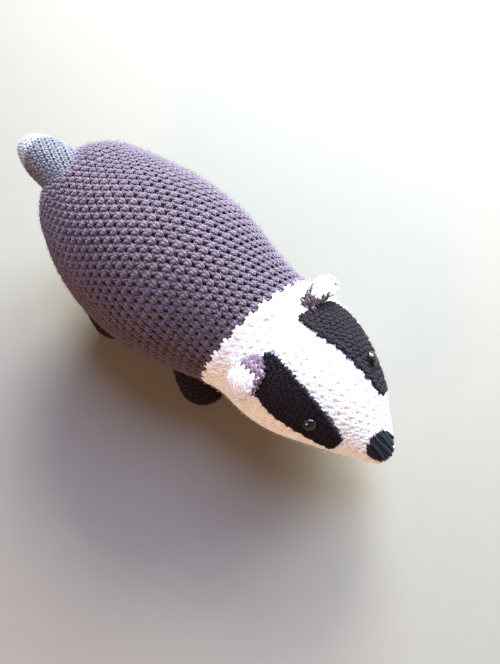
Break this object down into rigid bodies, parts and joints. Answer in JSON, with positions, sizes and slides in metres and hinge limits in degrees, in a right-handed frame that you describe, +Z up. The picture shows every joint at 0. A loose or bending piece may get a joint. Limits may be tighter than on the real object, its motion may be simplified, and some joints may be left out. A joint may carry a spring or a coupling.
{
  "type": "crocheted badger toy",
  "caption": "Stuffed crochet badger standing on stubby black legs, grey trunk, white head with black stripes, drooping ears and a thick tail.",
  "frame": {"origin": "on the floor, under the middle of the whole toy", "axes": "+Z up, nose towards -Y, tail towards +Y, the toy's own right side towards -X"},
  "size_m": [0.1226, 0.2999, 0.1208],
  "materials": {
    "grey_yarn": "matte crochet yarn, grey with a purple cast",
    "white_yarn": "matte crochet yarn, white",
    "black_yarn": "matte crochet yarn, black",
    "tail_yarn": "matte marled crochet yarn, light and dark grey",
    "nose_yarn": "satin stitched black yarn",
    "eye_plastic": "glossy black domed plastic"
  },
  "bodies": {
    "root": {"trunk": "grey_yarn", "head": "white_yarn", "tail": "tail_yarn", "leg_front_right": "black_yarn", "leg_front_left": "black_yarn", "leg_rear_right": "black_yarn", "leg_rear_left": "black_yarn", "stripe_right": "black_yarn", "stripe_left": "black_yarn", "ear_right": "white_yarn", "ear_left": "white_yarn", "nose": "nose_yarn", "eye_right": "eye_plastic", "eye_left": "eye_plastic"}
  },
  "joints": []
}
